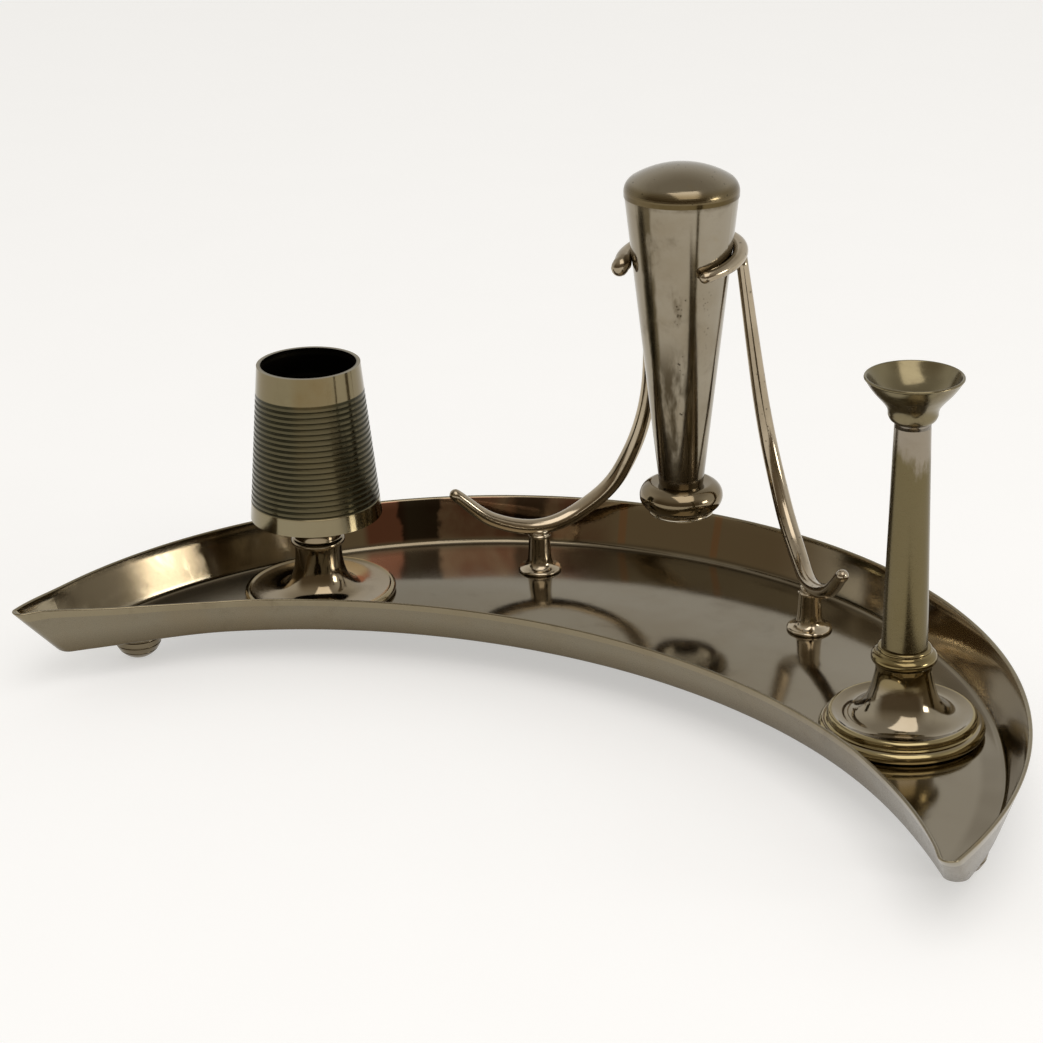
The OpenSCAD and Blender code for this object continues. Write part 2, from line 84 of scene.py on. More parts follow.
class Nodes:
    """A node tree, with a short call for each kind of node."""

    def __init__(self, tree):
        self.tree = tree

    def make(self, kind, **settings):
        node = self.tree.nodes.new(kind)
        for key, value in settings.items():
            setattr(node, key, value)
        return node

    def put(self, socket, value):
        if isinstance(value, bpy.types.NodeSocket):
            self.tree.links.new(value, socket)
        else:
            socket.default_value = value

    def math(self, operation, a, b=0.0, c=0.0):
        node = self.make("ShaderNodeMath", operation=operation)
        for socket, value in zip(node.inputs, (a, b, c)):
            self.put(socket, value)
        return node.outputs[0]

    def times(self, *factors):
        product = factors[0]
        for factor in factors[1:]:
            product = self.math("MULTIPLY", product, factor)
        return product

    def step(self, value, low, high, start=0.0, end=1.0):
        """Eases from start to end as value goes from low to high."""
        node = self.make("ShaderNodeMapRange", interpolation_type="SMOOTHSTEP")
        for socket, item in zip(node.inputs, (value, low, high, start, end)):
            self.put(socket, item)
        return node.outputs[0]

    def mix(self, amount, a, b):
        node = self.make("ShaderNodeMix", data_type="RGBA")
        self.put(node.inputs[0], amount)
        for socket, value in ((node.inputs[6], a), (node.inputs[7], b)):
            self.put(socket, value if isinstance(value, bpy.types.NodeSocket) else (*value, 1.0))
        return node.outputs[2]

    def ramp(self, value, stops):
        node = self.make("ShaderNodeValToRGB")
        self.put(node.inputs[0], value)
        points = node.color_ramp.elements
        while len(points) < len(stops):
            points.new(0.5)
        for point, (place, colour) in zip(points, stops):
            point.position, point.color = place, (*colour, 1)
        return node.outputs[0]

    def seen(self):
        """1 for a ray from the camera, a mirror or glass, so that they all see the pale background."""
        path = self.make("ShaderNodeLightPath").outputs
        return self.math("MAXIMUM", self.math("MAXIMUM", path["Is Camera Ray"], path["Is Glossy Ray"]),
                         path["Is Transmission Ray"])


class Graph(Nodes):
    """One material's nodes."""

    def __init__(self, name):
        self.material = bpy.data.materials.new(name)
        self.material.use_nodes = True
        super().__init__(self.material.node_tree)
        self.shader = self.tree.nodes["Principled BSDF"]
        self.place = self.make("ShaderNodeTexCoord").outputs["Object"]
        split = self.make("ShaderNodeSeparateXYZ")
        self.put(split.inputs[0], self.place)
        self.x, self.y, self.z = split.outputs

    def between(self, value, low, high, soft):
        """1 between low and high, fading to 0 over soft outside them."""
        return self.times(self.step(value, low - soft, low), self.step(value, high, high + soft, 1.0, 0.0))

    def noise(self, scale, detail=4.0, rough=0.55, stretch=(1, 1, 1), warp=0.0):
        """Noise from 0 to 1. scale is in bumps per metre, and stretch multiplies it along X, Y and Z."""
        mapping = self.make("ShaderNodeMapping")
        self.put(mapping.inputs["Vector"], self.place)
        mapping.inputs["Scale"].default_value = stretch
        node = self.make("ShaderNodeTexNoise")
        self.put(node.inputs["Vector"], mapping.outputs[0])
        node.inputs["Scale"].default_value = scale
        node.inputs["Detail"].default_value = detail
        node.inputs["Roughness"].default_value = rough
        node.inputs["Distortion"].default_value = warp
        return node.outputs["Fac"]

    def dots(self, scale, size):
        """1 in the middle of round uneven dots. scale is in dots per metre, size a share of their gap."""
        node = self.make("ShaderNodeTexVoronoi")
        self.put(node.inputs["Vector"], self.place)
        node.inputs["Scale"].default_value = scale
        shrink = self.math("MULTIPLY", self.noise(scale * 0.4), size)
        uneven = self.math("SUBTRACT", node.outputs["Distance"], shrink)
        return self.step(uneven, size * 0.2, -size * 0.15)

    def up(self):
        """Height above the tray's floor, in mm."""
        return self.math("SUBTRACT", self.times(self.z, 1 / MM), FLOOR_Z)

    def offset(self, x, y):
        """How far in mm a point is from the upright axis at x, y of the tray, along X and along Y."""
        return (self.math("SUBTRACT", self.times(self.x, 1 / MM), x),
                self.math("SUBTRACT", self.times(self.y, 1 / MM), y + BACK_Y))

    def out_from(self, x, y):
        """Distance in mm from the upright axis at x, y of the tray."""
        dx, dy = self.offset(x, y)
        return self.math("SQRT", self.math("ADD", self.times(dx, dx), self.times(dy, dy)))

    def turn_about(self, x, y):
        """Angle in degrees round the upright axis at x, y of the tray, from +X towards +Y."""
        dx, dy = self.offset(x, y)
        return self.math("DEGREES", self.math("ARCTAN2", dy, dx))

    def ragged(self, value, noise, reach):
        """The value with its places shifted by the noise, by up to half of reach either way."""
        return self.math("ADD", value, self.times(self.math("SUBTRACT", noise, 0.5), reach))

    def bump(self, height, distance, onto=None):
        node = self.make("ShaderNodeBump")
        node.inputs["Distance"].default_value = distance
        self.put(node.inputs["Height"], height)
        if onto is not None:
            self.put(node.inputs["Normal"], onto)
        return node.outputs[0]

    def finish(self, colour, roughness, normal=None, metallic=1.0):
        self.put(self.shader.inputs["Base Color"], colour)
        self.put(self.shader.inputs["Roughness"], roughness)
        self.shader.inputs["Metallic"].default_value = metallic
        if normal is not None:
            self.put(self.shader.inputs["Normal"], normal)
        return self.material


# ---------------------------------------------------------------- metals

PLATE = (0.262, 0.228, 0.164)
SILVER = (0.310, 0.272, 0.218)
PALE_PLATE = (0.360, 0.320, 0.250)
WARM = (0.215, 0.170, 0.105)
TARNISH = (0.095, 0.070, 0.038)
BRASS = (0.270, 0.195, 0.085)
BARE_BRASS = (0.360, 0.290, 0.140)
OLIVE_REFLECTION = (0.138, 0.109, 0.048)
COPPERY_REFLECTION = (0.170, 0.062, 0.034)
SALMON_REFLECTION = (0.260, 0.095, 0.058)
ORANGE_REFLECTION = (0.450, 0.240, 0.110)
DIRT_AND_SHADE = (0.030, 0.025, 0.014)
SOOT = (0.012, 0.009, 0.005)
PIT = (0.022, 0.017, 0.010)
STEEL = (0.150, 0.145, 0.135)


class Metal(Graph):
    """Old plated metal. Its colour and roughness are built up in layers.

    stain and rubbed say how strongly tarnish and bare brass cloud it, and size scales the clouds.
    """

    def __init__(self, name, plate=PLATE, rough=0.08, stain=0.3, rubbed=0.2, size=1.0):
        super().__init__(name)
        clouds = self.step(self.noise(40 / size, 5, 0.6), 0.38, 0.72)
        self.colour = self.mix(clouds, plate, tuple((p + w) / 2 for p, w in zip(plate, WARM)))
        self.scratch = self.noise(300 / size, 7, 0.7, stretch=(1, 7, 7), warp=0.3)
        self.rough = self.step(self.scratch, 0.3, 0.8, rough * 0.75, rough * 1.4)
        self.layer(self.step(self.noise(85 / size, 8, 0.68, warp=0.5), 0.52, 0.80, 0.0, stain), TARNISH, 0.22)
        if rubbed:
            self.layer(self.step(self.noise(60 / size, 6, 0.7), 0.60, 0.76, 0.0, rubbed), BRASS, 0.05)

    def layer(self, amount, colour, roughen=0.0):
        self.colour = self.mix(amount, self.colour, colour)
        if roughen:
            self.rough = self.math("ADD", self.rough, self.times(amount, roughen))

    def pits(self, amount, scale=420, size=0.30):
        """Small dark pits where amount is 1."""
        self.layer(self.times(self.dots(scale, size), amount), PIT, 0.4)

    def done(self, waves, normal=None):
        """The finished material. waves is the height in metres of the hand polish's long waves."""
        normal = self.bump(self.noise(26, 2, 0.4), waves, normal)
        return self.finish(self.colour, self.rough, self.bump(self.scratch, 0.000006, normal))


def tray_inside():
    """Polished floor and inner walls. The back wall carries a painted reflection of warm things in the room,
    and the floor dips towards the front.
    """
    m = Metal("tray_inside", rough=0.075, stain=0.30, rubbed=0.10)
    out, angle, up = m.out_from(0, 0), m.turn_about(0, 0), m.up()
    wall = m.times(m.step(out, 143.2, 144.6), m.step(up, 0.8, 2.4))
    flat = m.step(out, 143.4, 142.4)
    # The wall is brighter than the floor, with tarnish towards the left horn
    m.layer(wall, (0.36, 0.30, 0.20))
    horn = m.times(m.step(angle, 138, 152), m.step(m.noise(34, 4, 0.6, warp=0.8), 0.36, 0.60, 0.30, 0.80))
    m.layer(m.times(wall, horn), TARNISH, 0.08)
    # A painted reflection of warm things in the room: a coppery patch left of the middle, redder at its left
    # end, with two dark bars
    blotch = m.noise(55, 4, 0.6, warp=0.6)
    m.layer(m.times(wall, m.between(angle, 108, 127, 5), m.step(blotch, 0.30, 0.62, 0.35, 0.8)), COPPERY_REFLECTION)
    m.layer(m.times(wall, m.between(angle, 131.5, 135.5, 1.2), 0.85), SALMON_REFLECTION)
    edge = m.ragged(angle, blotch, 6.0)
    m.layer(m.times(wall, m.between(edge, 126.5, 131.5, 0.8), 0.9), PIT)
    m.layer(m.times(wall, m.between(edge, 113.5, 116.5, 1.5), 0.7), PIT)
    # Two thin orange streaks, also painted reflection
    for streak in (103.1, 90.6):
        m.layer(m.times(wall, m.between(angle, streak - 0.3, streak + 0.3, 0.4), 0.6), ORANGE_REFLECTION)
    # The floor: dull in front of the painted coppery patch, darker to the left, paler in both horns
    dull = m.times(flat, m.between(out, 122, 144, 8), m.between(angle, 106, 142, 8), 0.75)
    m.layer(dull, (0.125, 0.100, 0.068), 0.08)
    m.layer(m.times(flat, m.step(m.x, -0.02, -0.09), 0.4), (0.17, 0.155, 0.12))
    m.layer(m.times(flat, m.step(m.x, -0.08, -0.11), 0.8), PALE_PLATE, 0.25)
    m.layer(m.times(flat, m.step(m.x, 0.03, 0.09), 0.7), (0.33, 0.29, 0.22))
    # Grime before the back cove and in all coves
    grime = m.step(m.noise(32, 2, 0.4), 0.35, 0.7, 0.15, 0.5)
    m.layer(m.times(m.between(out, 138.5, 142.5, 2.5), grime), TARNISH, 0.1)
    m.layer(m.times(m.between(up, 0.1, 1.2, 0.5), 0.25), TARNISH, 0.1)
    behind_front = m.math("SUBTRACT", m.out_from(0, -GAP), FRONT_RIM_R)
    return m.done(0.00022, m.bump(m.step(behind_front, 4.0, 44.0), 0.0016))


def tray_outside():
    """Duller metal, painted darker towards its lower edge and its right end as a stand-in for a dark
    reflection of the ground below.
    """
    m = Metal("tray_outside", plate=(0.215, 0.186, 0.132), rough=0.24, stain=0.3, rubbed=0.15)
    up = m.up()
    # Painted shade: darker towards the lower edge and the right end, standing in for a dark reflection of the
    # ground
    m.layer(m.step(up, 6.5, -1.0, 0.0, 0.55), TARNISH, 0.05)
    m.layer(m.step(m.x, 0.02, 0.13, 0.0, 0.35), TARNISH, 0.02)
    m.layer(m.times(m.step(up, 0.8, -0.9), m.step(m.noise(150, 6, 0.7), 0.3, 0.7, 0.1, 0.6)), TARNISH, 0.1)
    return m.done(0.0002)


def tray_rim():
    m = Metal("tray_rim", plate=(0.255, 0.215, 0.140), rough=0.18, stain=0.4, rubbed=0.6)
    return m.done(0.0001)


def foot_plate():
    m = Metal("foot_plate", plate=(0.19, 0.155, 0.10), rough=0.12, stain=0.6, rubbed=0.35)
    return m.done(0.0001)


CUP_LOW_Z, CUP_H = 26.4, 48.6
CUP_LOW_R, CUP_TAPER = 20.2, 4.5
RIB_Z, RIB_PITCH = 31.6, 1.71


def cup_side():
    """The ribbed side: bright bands, dirt and painted shade in the grooves, a painted dark reflection over
    the ribs, and a sooty inside.
    """
    m = Metal("cup_side", plate=(0.205, 0.172, 0.098), rough=0.11, stain=0.25, rubbed=0.3)
    up = m.up()
    # How far a height is from the middle of the groove by it, as a share of the ribs' pitch
    turn = m.math("FRACT", m.math("DIVIDE", m.math("SUBTRACT", up, RIB_Z - 0.42 * RIB_PITCH), RIB_PITCH))
    groove = m.math("ABSOLUTE", m.math("SUBTRACT", turn, 0.62))
    ribs = m.between(up, 31.9, 66.5, 0.3)
    # Dirt and painted shade darken the grooves, and a painted dark reflection darkens the whole ribbed band
    m.layer(m.times(ribs, m.step(groove, 0.14, 0.34, 0.94, 0.0)), DIRT_AND_SHADE, 0.25)
    m.layer(m.times(ribs, 0.74), (0.046, 0.043, 0.024), 0.05)
    # A brighter band below the ribs, and a golden bloom on the one above them
    m.layer(m.step(up, 31.6, 31.0, 0.0, 0.8), (0.25, 0.215, 0.135))
    gold = m.times(m.between(m.turn_about(*CUP), -64, -34, 14), m.step(m.noise(60, 4), 0.3, 0.65, 0.3, 0.9))
    m.layer(m.times(gold, m.step(up, 64.0, 68.0, 0.15, 0.7)), (0.17, 0.115, 0.045), 0.05)
    outside = m.math("SUBTRACT", CUP_LOW_R, m.times(m.math("SUBTRACT", up, CUP_LOW_Z), CUP_TAPER / CUP_H))
    inside = m.step(m.math("SUBTRACT", outside, m.out_from(*CUP)), 0.75, 0.95)
    m.layer(m.times(inside, m.step(up, 72.4, 74.6, 1.0, 0.35)), SOOT, 0.35)
    return m.done(0.00012)


def cup_inside():
    m = Metal("cup_inside", plate=(0.03, 0.024, 0.014), rough=0.4, stain=0.5, rubbed=0.1)
    return m.done(0.0001)


def cup_stem():
    """Bright plate, darker up the stem, with brass at the foot's edge."""
    m = Metal("cup_stem", plate=(0.31, 0.25, 0.165), rough=0.10, stain=0.4, rubbed=0.3)
    m.layer(m.step(m.up(), 4.0, 9.0, 0.0, 0.2), TARNISH, 0.02)
    m.layer(m.times(m.step(m.out_from(*CUP), 21.2, 22.2), 0.7), (0.30, 0.24, 0.13), 0.05)
    return m.done(0.00015)


def column_base():
    """The stepped foot: silver, with brass rubbed bare along its edges and up its neck."""
    m = Metal("column_base", plate=(0.30, 0.255, 0.182), rough=0.09, stain=0.35, rubbed=0.3)
    out = m.out_from(*COLUMN)
    m.layer(m.times(m.step(out, 21.4, 22.2), 0.85), BARE_BRASS, 0.02)
    m.layer(m.times(m.between(out, 19.4, 20.8, 0.4), 0.8), BARE_BRASS, 0.02)
    m.layer(m.times(m.step(m.up(), 13.0, 16.5), 0.75), (0.20, 0.15, 0.06), 0.02)
    return m.done(0.00015)


def column_side():
    """The shaft: plate above, and olive below, painted as a reflection of the tray, with a ragged edge
    between them.
    """
    m = Metal("column_side", plate=SILVER, rough=0.21, stain=0.25, rubbed=0.1)
    edge = m.ragged(m.up(), m.noise(70, 6, 0.7, stretch=(1, 1, 0.35)), 34.0)
    # Painted reflection: the lower shaft is coloured olive where it would mirror the tray
    m.layer(m.step(edge, 84.5, 79.0, 0.0, 0.9), OLIVE_REFLECTION, 0.03)
    return m.done(0.0001)


def column_top():
    """The dish: dark in its socket and bowl, and silver where its neck carries the shaft on."""
    m = Metal("column_top", plate=(0.205, 0.172, 0.098), rough=0.20, stain=0.5, rubbed=0.5)
    out, up = m.out_from(*COLUMN), m.up()
    m.layer(m.times(m.step(out, 4.3, 3.9), m.step(up, 96.0, 94.0)), PIT, 0.3)
    m.layer(m.times(m.step(out, 4.4, 4.6), m.step(up, 90.0, 89.8)), SILVER)
    m.layer(m.times(m.step(out, 8.5, 4.5, 0.0, 0.35), m.step(up, 92.0, 96.0)), TARNISH, 0.1)
    return m.done(0.00012)


def torch_side():
    """The torch: worn plate with dark pits and grime down its front, a painted dark reflection low on its
    front, and tarnish at its neck and mouth.
    """
    m = Metal("torch_side", plate=(0.305, 0.268, 0.203), rough=0.12, stain=0.5, rubbed=0.3)
    angle, up = m.turn_about(*TORCH), m.up()
    # Three pitted streaks, a smear, and scattered pits
    streak = m.times(m.between(angle, -69, -59, 5), m.between(up, 60, 108, 6))
    second = m.times(m.between(angle, -33, -24, 4), m.between(up, 84, 96, 5))
    third = m.times(m.between(angle, -98, -90, 4), m.between(up, 70, 112, 6), 0.4)
    patchy = m.step(m.noise(140, 5, 0.65, stretch=(1, 1, 0.45)), 0.50, 0.62)
    m.pits(m.times(m.math("MAXIMUM", m.math("MAXIMUM", streak, second), third), patchy, 0.8), 900, 0.55)
    m.pits(m.times(m.step(m.noise(45, 3), 0.55, 0.7), 0.7), 380, 0.22)
    smear = m.times(m.between(angle, -70, -64, 5), m.between(up, 88, 100, 8), patchy)
    m.layer(m.times(smear, 0.55), TARNISH, 0.15)
    # Mottled darkening: a painted dark reflection low on the front, and grime up the left of it and in a
    # narrow streak right of it
    mottled = m.step(m.noise(150, 4, 0.62, stretch=(1, 1, 0.28)), 0.42, 0.60)
    low_front = m.times(m.between(angle, -98, -52, 8), m.between(up, 38, 70, 18), mottled, 0.9)
    m.layer(low_front, (0.055, 0.040, 0.020), 0.1)
    left = m.times(m.between(angle, -112, -97, 5), m.between(up, 60, 126, 8), mottled, 0.85)
    m.layer(left, (0.09, 0.068, 0.032), 0.08)
    right = m.times(m.between(angle, -50, -44, 3), m.between(up, 44, 108, 10), mottled, 0.8)
    m.layer(right, (0.12, 0.09, 0.042), 0.06)
    # Tarnish round the neck and under the mouth
    neck = m.times(m.step(up, 50, 36, 0.0, 0.75), m.step(m.noise(90, 5, 0.65), 0.3, 0.6, 0.55, 1.0))
    m.layer(neck, TARNISH, 0.08)
    mouth = m.times(m.step(up, 124.2, 126.0), m.step(m.noise(160, 5, 0.7), 0.35, 0.6, 0.15, 0.85))
    m.layer(mouth, TARNISH, 0.15)
    return m.done(0.00015)


def torch_dome():
    """The cap: brown round its lower edge, and pitted."""
    m = Metal("torch_dome", plate=(0.245, 0.205, 0.140), rough=0.14, stain=0.4, rubbed=0.35)
    m.layer(m.times(m.step(m.out_from(*TORCH), 15.2, 16.6), 0.75), (0.115, 0.082, 0.034), 0.08)
    m.pits(0.55, 420, 0.2)
    return m.done(0.0001)


def torch_bun():
    """The knob: worn plate, with its disc below painted bright."""
    m = Metal("torch_bun", plate=(0.215, 0.170, 0.105), rough=0.10, stain=0.45, rubbed=0.5)
    # Painted reflection: the disc's underside is coloured bright as if it mirrored the tray floor below it
    m.layer(m.step(m.up(), 27.2, 26.7), (0.80, 0.74, 0.62))
    return m.done(0.0001)


def dark_gold(name, plate):
    return Metal(name, plate=plate, rough=0.13, stain=0.55, rubbed=0.35).done(0.0001)


def rod_plate(name, plate):
    """Plate on thin bars: finer clouds, and small pits."""
    m = Metal(name, plate=plate, rough=0.12, stain=0.5, rubbed=0.55, size=0.7)
    m.pits(0.5, 420, 0.26)
    return m.done(0.00008)


def steel():
    m = Metal("dull_steel", plate=STEEL, rough=0.35, stain=0.5, rubbed=0.0, size=0.4)
    return m.done(0.00005)


knop_brass = dark_gold("knop_brass", (0.22, 0.17, 0.075))
rod_silver = rod_plate("rod_silver", (0.42, 0.35, 0.25))
foot_silver = foot_plate()
dull_steel = steel()

for node, material in {
        "foot_left": foot_silver, "foot_right": foot_silver, "foot_back": foot_silver,
        "cup_shell": cup_side(), "cup_floor": cup_inside(), "cup_nut": knop_brass, "cup_screw": dull_steel,
        "column_shaft": column_side(), "column_nut": knop_brass, "column_rod": dull_steel,
        "post_screws": dull_steel,
        "torch_body": torch_side(), "torch_cap": torch_dome(), "torch_screw": knop_brass,
        "torch_band": dark_gold("band_gold", (0.10, 0.072, 0.03))}.items():
    nodes[node].data.materials.clear()
    nodes[node].data.materials.append(material)


# ---------------------------------------------------------------- tray

def declare(mesh, name, materials, node, body="stand"):
    """Makes an object of the mesh that rides on a body and stands in for a node of the frame."""
    data = bpy.data.meshes.new(name)
    mesh.to_mesh(data)
    mesh.free()
    for material in materials:
        data.materials.append(material)
    piece = bpy.data.objects.new(name, data)
    bpy.context.scene.collection.objects.link(piece)
    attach(piece, body)
    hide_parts(node)


EDGE_R = SHEET / 2                      # the rim's rounded edge
LOW = -SHEET                            # underside
HIGH = round(tray_high.z / MM - FLOOR_Z, 3)             # back rim
# The walls' outsides lean: radii at the underside, and how much more or less they are at the rim
BACK_LEAN = 5.37
BACK_FOOT_R = BACK_RIM_R - BACK_LEAN
TIP_FOOT_R, TIP_LEAN = 185.2, 6.7
NOSE_FOOT_R, NOSE_LEAN, LEAST_NOSE_R = 3.6, 0.6, 0.7
# The front wall's radii, about FRONT_R in all, grow from the noses to its middle
FRONT_R = 184.0
FOOT_GROWS, FOOT_GROWS_OVER = 2.14, 50.0
RIM_GROWS, RIM_GROWS_FROM, RIM_GROWS_OVER = 4.5, -14.0, 44.0
# The left horn stands steeper at its nose, and its tip turns up
STEEPER, STEEPER_FROM, STEEPER_OVER = 2.5, 105.0, 30.0
TIP_LIFT, LIFT_FROM, LIFT_OVER = 0.9, 6.0, 22.0
# The front rim is lower than the back one, and rises to it at the horns
FRONT_HIGH, RISE_FROM, RISE_OVER = 10.7, 25.0, 39.0
# Soft corners: under the wall's outside, and the cove between the wall's inside and the floor
CORNER_W, CORNER_H = 0.86, 0.81
COVE_W, COVE_H, COVE_END = 1.43, 1.35, 1.9
BACK_STEPS, NOSE_STEPS, FRONT_STEPS = 110, 14, 100
RIM_FROM, INSIDE_FROM = 9, 17           # the first steps over the wall with the rim's and the inside's metal


def crescent(kind, s, f, inset, side=1):
    """A point of one half of the tray's outline, f of the way up the wall and inset from its outside.

    The half runs from the middle of the back over the nose to the middle of the front. s is how far along
    its kind of curve the point is. x counts outward, and side is -1 for the left half.
    """
    steep = STEEPER * (1 - f) if side < 0 else 0.0
    back = BACK_FOOT_R + BACK_LEAN * f - inset
    front_tip = TIP_FOOT_R - TIP_LEAN * f + inset - steep
    nose = max(NOSE_FOOT_R - NOSE_LEAN * f - inset, LEAST_NOSE_R)
    # The nose's centre is as far inside the back circle as it is outside the front one
    cy = ((front_tip + nose) ** 2 - (back - nose) ** 2 - GAP ** 2) / (2 * GAP)
    cx = sqrt((back - nose) ** 2 - cy ** 2)
    at_back, at_front = atan2(cy, cx), atan2(cy + GAP, cx)
    if kind == "back":
        a = pi / 2 + (at_back - pi / 2) * s
        return back * cos(a), back * sin(a)
    if kind == "nose":
        a = at_back + (at_front - pi - at_back) * s
        return cx + nose * cos(a), cy + nose * sin(a)
    a = at_front + (pi / 2 - at_front) * s
    x, y = FRONT_R * cos(a), FRONT_R * sin(a) - GAP     # near enough to tell where the point is
    foot = TIP_FOOT_R + FOOT_GROWS * eased(y / FOOT_GROWS_OVER)
    rim = TIP_FOOT_R - TIP_LEAN + RIM_GROWS * clamped((y - RIM_GROWS_FROM) / RIM_GROWS_OVER)
    r = foot + (rim - foot) * f + inset - steep * eased((x - STEEPER_FROM) / STEEPER_OVER)
    return r * cos(a), r * sin(a) - GAP


def rim_height(kind, y):
    if kind != "front":
        return HIGH
    return min(HIGH, FRONT_HIGH + (HIGH - FRONT_HIGH) * clamped((RISE_FROM - y) / RISE_OVER) ** 1.5)


def outline():
    """The points round the tray: kind and place along the outline, side, and height of the rim."""
    half = ([("back", i / BACK_STEPS) for i in range(BACK_STEPS + 1)]
            + [("nose", i / NOSE_STEPS) for i in range(1, NOSE_STEPS)]
            + [("front", i / FRONT_STEPS) for i in range(FRONT_STEPS + 1)])
    right, left = [], []
    for kind, s in half:
        x, y = crescent(kind, s, 1.0, 0.0)
        height = rim_height(kind, y)
        right.append((kind, s, 1, height))
        left.append((kind, s, -1, height + TIP_LIFT * eased((LIFT_FROM - y) / LIFT_OVER)))
    # The halves share the points at the middle of the back and of the front
    return right + left[-2:0:-1]


def over_wall(height):
    """Inset and height of each step over the wall, from under its outside to the floor."""
    edge, foot = height - EDGE_R, LOW + CORNER_H
    steps = [(CORNER_W * (1 - i / 4) ** 2, LOW + CORNER_H * (i / 4) ** 2) for i in range(5)]
    steps += [(0.0, foot + (edge - foot) * i / 6) for i in range(1, 7)]
    steps += [(EDGE_R - EDGE_R * cos(pi * i / 8), edge + EDGE_R * sin(pi * i / 8)) for i in range(1, 8)]
    steps += [(SHEET, edge - (edge - COVE_H) * i / 5) for i in range(6)]
    steps += [(SHEET + COVE_W * (i / 6) ** 2, COVE_H * (1 - i / 6) ** 2) for i in range(1, 7)]
    return steps + [(SHEET + COVE_END, 0.0)]


def make_tray():
    """The whole sheet: its outline's points taken over the wall, and closed by a floor and an underside."""
    around = outline()
    walls = [over_wall(height) for kind, s, side, height in around]
    bm = bmesh.new()
    rings = []
    for steps in zip(*walls):
        ring = []
        for (kind, s, side, height), (inset, z) in zip(around, steps):
            x, y = crescent(kind, s, (z - LOW) / (height - LOW), inset, side)
            ring.append(bm.verts.new(at(side * x, y, z)))
        rings.append(ring)
    for k, (low, high) in enumerate(zip(rings, rings[1:])):
        for i in range(len(around)):
            j = (i + 1) % len(around)
            face = bm.faces.new((low[j], low[i], high[i], high[j]))
            face.smooth = True
            face.material_index = (k >= RIM_FROM) + (k >= INSIDE_FROM)
    bm.faces.new(rings[0])
    bm.faces.new(rings[-1][::-1]).material_index = 2
    bmesh.ops.recalc_face_normals(bm, faces=bm.faces)
    declare(bm, "tray_sheet", (tray_outside(), tray_rim(), tray_inside()), "tray")


make_tray()


# ---------------------------------------------------------------- turned pieces

def through(points, n=6):
    """A smooth curve through the points, with n steps from each to the next."""
    padded = [points[0]] + list(points) + [points[-1]]
    curve = []
    for a, b, c, d in zip(padded, padded[1:], padded[2:], padded[3:]):
        for i in range(n):
            t = i / n
            curve.append(tuple(0.5 * (2 * q + (r - p) * t + (2 * p - 5 * q + 4 * r - s) * t * t
                                      + (3 * q - p - 3 * r + s) * t ** 3)
                               for p, q, r, s in zip(a, b, c, d)))
    return curve + [points[-1]]


def bend(x, z, r, start, end, n=8):
    """An arc about x, z from one angle to another, in degrees."""
    angles = [radians(start + (end - start) * i / n) for i in range(n + 1)]
    return [(x + r * cos(a), z + r * sin(a)) for a in angles]


def turned(name, centre, profile, material, node, sides=128, body="stand"):
    """A piece turned round an upright axis, from points of radius and height, closed at both ends."""
    bm = bmesh.new()
    turns = [2 * pi * i / sides for i in range(sides)]
    rings = [[bm.verts.new(at(centre[0] + r * cos(a), centre[1] + r * sin(a), z)) for a in turns]
             for r, z in profile]
    for low, high in zip(rings, rings[1:]):
        for i in range(sides):
            j = (i + 1) % sides
            bm.faces.new((low[i], low[j], high[j], high[i])).smooth = True
    bm.faces.new(rings[0][::-1])
    bm.faces.new(rings[-1])
    declare(bm, name, (material,), node, body)


def make_cup_foot():
    """A rounded edge, a dished top that rises into the stem, a bead on it, and a flare under the cup."""
    dished = through([(22.0, 2.35), (21.2, 2.0), (19.0, 1.75), (16.0, 1.7), (13.2, 2.0), (11.0, 3.1),
                      (9.2, 5.2), (8.0, 8.2), (7.4, 11.4), (7.2, 14.6), (7.3, 16.6)])
    flare = through([(7.2, 18.8), (7.0, 20.6), (7.3, 22.6), (8.4, 24.6), (9.6, 25.6)])
    profile = ([(21.4, 0.0)] + bend(22.3, 1.2, 1.2, -90, 95, 10) + dished
               + bend(7.3, 17.6, 1.0, -80, 80) + flare + [(9.7, 27.2)])
    turned("cup_foot_dished", CUP, profile, cup_stem(), "cup_foot")


def make_column_foot():
    """A rounded edge, a step with a bead, and a bell that rises into the neck."""
    step = through([(20.7, 3.4), (20.35, 3.6)])
    bell = through([(18.2, 5.5), (16.6, 5.15), (14.8, 5.35), (13.0, 6.2), (11.3, 7.8), (9.9, 10.0),
                    (8.9, 12.8), (8.2, 15.4), (7.8, 17.4), (7.7, 19.0), (7.9, 20.2), (8.0, 20.6)])
    profile = ([(20.6, 0.0)] + bend(21.1, 1.7, 1.7, -90, 80, 10) + step
               + bend(19.4, 4.8, 1.15, -45, 115) + bell)
    turned("column_foot_bell", COLUMN, profile, column_base(), "column_foot")


def make_column_knop():
    """A round bead with a small one on it."""
    profile = ([(7.6, 20.6)] + bend(7.4, 22.3, 1.65, -80, 80, 10) + through([(7.5, 24.0), (7.3, 24.3)])
               + bend(6.8, 24.9, 0.65, -60, 90, 5))
    turned("column_knop_bead", COLUMN, profile, knop_brass, "column_knop")


def make_column_dish():
    """A short neck, a flare with a thin lip, and a bowl that falls to the socket."""
    flare = through([(5.1, 90.0), (6.0, 90.6), (6.6, 91.8), (6.75, 93.2), (7.4, 94.6), (8.8, 96.3),
                     (10.6, 98.3), (12.0, 100.2), (12.95, 101.8)])
    bowl = through([(12.2, 102.0), (11.2, 100.5), (9.9, 98.9), (8.2, 97.4), (6.3, 96.3), (4.9, 95.7),
                    (4.2, 95.3), (3.92, 94.6)])
    profile = ([(4.9, 88.6), (4.88, 89.8)] + flare + bend(12.75, 102.1, 0.42, -20, 150) + bowl
               + [(3.9, 92.0), (3.9, 89.2)])
    turned("column_dish_flare", COLUMN, profile, column_top(), "column_dish")


